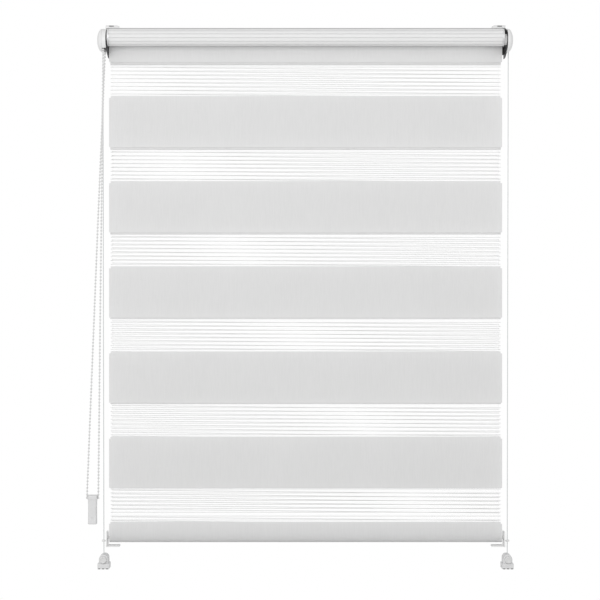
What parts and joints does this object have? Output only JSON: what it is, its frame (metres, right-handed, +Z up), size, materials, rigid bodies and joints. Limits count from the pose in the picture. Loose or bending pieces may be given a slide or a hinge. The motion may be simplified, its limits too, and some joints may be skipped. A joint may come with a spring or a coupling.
{
  "type": "roller blind",
  "caption": "White day-night roller blind with a bead chain, black clamp brackets with side caps, tensioned guide wires and clip-on feet, hanging fully lowered.",
  "frame": {"origin": "on the window plane, midway between the two brackets' screw holes, level with the roller's axis", "axes": "+Z up, +Y towards the window, +X to the right as seen from the room"},
  "size_m": [0.6252, 0.0659, 0.7977],
  "materials": {
    "black_steel": "satin black powder coat",
    "white_plastic": "semi-matt moulded",
    "gloss_white_plastic": "gloss moulded",
    "fabric": "plain weave with sheer ribbed bands",
    "rubber": "matt",
    "steel": "bright",
    "brass": "turned",
    "aluminium": "extruded"
  },
  "bodies": {
    "fixed": {"left_bracket": "black_steel", "right_bracket": "black_steel", "left_clamp_sleeve": "white_plastic", "right_clamp_sleeve": "white_plastic", "left_end_cap": "white_plastic", "right_end_cap": "white_plastic", "chain_guard": "white_plastic", "clutch_core": "white_plastic", "clutch_screw": "steel", "chain_on_sprocket": "white_plastic", "idle_boss": "white_plastic", "back_rail": "aluminium", "left_rail_clip": "white_plastic", "right_rail_clip": "white_plastic", "front_fabric": "fabric", "back_fabric": "fabric", "left_guide_wire": "steel", "right_guide_wire": "steel", "left_top_crimp": "steel", "right_top_crimp": "steel", "left_foot": "white_plastic", "right_foot": "white_plastic", "left_foot_pads": "rubber", "right_foot_pads": "rubber", "left_clamp_plug": "brass", "right_clamp_plug": "brass", "left_foot_crimp": "steel", "right_foot_crimp": "steel"},
    "left_hook": {"left_clamp_hook": "black_steel", "left_hook_pad": "rubber"},
    "right_hook": {"right_clamp_hook": "black_steel", "right_hook_pad": "rubber"},
    "left_lock": {"left_lock_screw": "steel"},
    "right_lock": {"right_lock_screw": "steel"},
    "left_knob_body": {"left_knob": "gloss_white_plastic"},
    "right_knob_body": {"right_knob": "gloss_white_plastic"},
    "roller": {"roller_tube": "aluminium", "wound_fabric": "fabric", "drive_plug": "white_plastic", "chain_sprocket": "white_plastic", "clutch_springs": "steel", "idle_plug": "white_plastic", "idle_spring": "steel"},
    "idle_pin_body": {"idle_pin": "steel"},
    "bottom_guides": {"left_guide": "white_plastic", "right_guide": "white_plastic", "hem_loop": "fabric"},
    "hem_rod": {"bottom_rod": "aluminium", "left_rod_plug": "white_plastic", "right_rod_plug": "white_plastic"},
    "chain": {"chain_front_strand": "white_plastic", "chain_back_strand": "white_plastic", "weight_body": "white_plastic", "weight_collar": "white_plastic", "weight_slug": "steel"}
  },
  "joints": [
    {"name": "bottom_lift", "type": "slide", "parent": "fixed", "child": "bottom_guides", "axis": [0, 0, 1], "range_m": [0, 0.69], "deforming": ["front_fabric", "back_fabric"]},
    {"name": "roller_spin", "type": "hinge", "parent": "fixed", "child": "roller", "pos_m": [0, -0.032, 0], "axis": [1, 0, 0], "range_deg": [-5042, 0]},
    {"name": "rod_spin", "type": "hinge", "parent": "bottom_guides", "child": "hem_rod", "pos_m": [0, -0.0114, -0.731], "axis": [1, 0, 0], "range_deg": [-5762, 0]},
    {"name": "left_hook_slide", "type": "slide", "parent": "fixed", "child": "left_hook", "axis": [0, 1, 0], "range_m": [-0.004, 0.008]},
    {"name": "right_hook_slide", "type": "slide", "parent": "fixed", "child": "right_hook", "axis": [0, 1, 0], "range_m": [-0.004, 0.008]},
    {"name": "left_lock_turn", "type": "hinge", "parent": "fixed", "child": "left_lock", "pos_m": [-0.278, -0.007, 0.02005], "axis": [1, 0, 0], "range_deg": [0, 360]},
    {"name": "right_lock_turn", "type": "hinge", "parent": "fixed", "child": "right_lock", "pos_m": [0.278, -0.007, 0.02005], "axis": [1, 0, 0], "range_deg": [0, 360]},
    {"name": "left_knob_turn", "type": "hinge", "parent": "fixed", "child": "left_knob_body", "pos_m": [-0.2964, -0.02, -0.7625], "axis": [0, 1, 0], "range_deg": [0, 360]},
    {"name": "right_knob_turn", "type": "hinge", "parent": "fixed", "child": "right_knob_body", "pos_m": [0.2964, -0.02, -0.7625], "axis": [0, 1, 0], "range_deg": [0, 360]},
    {"name": "idle_pin_press", "type": "slide", "parent": "roller", "child": "idle_pin_body", "axis": [1, 0, 0], "range_m": [-0.004, 0], "stiffness_N_per_m": 300, "springref_m": 0.004, "deforming": ["idle_spring"]},
    {"name": "chain_swing", "type": "hinge", "parent": "fixed", "child": "chain", "pos_m": [-0.2933, -0.032, -0.0215], "axis": [0, 1, 0], "range_deg": [0, 25]}
  ],
  "couplings": [
    {"joint": "roller_spin", "follows": "bottom_lift", "rad_per_m": -127.49},
    {"joint": "rod_spin", "follows": "bottom_lift", "rad_per_m": -145.7}
  ]
}
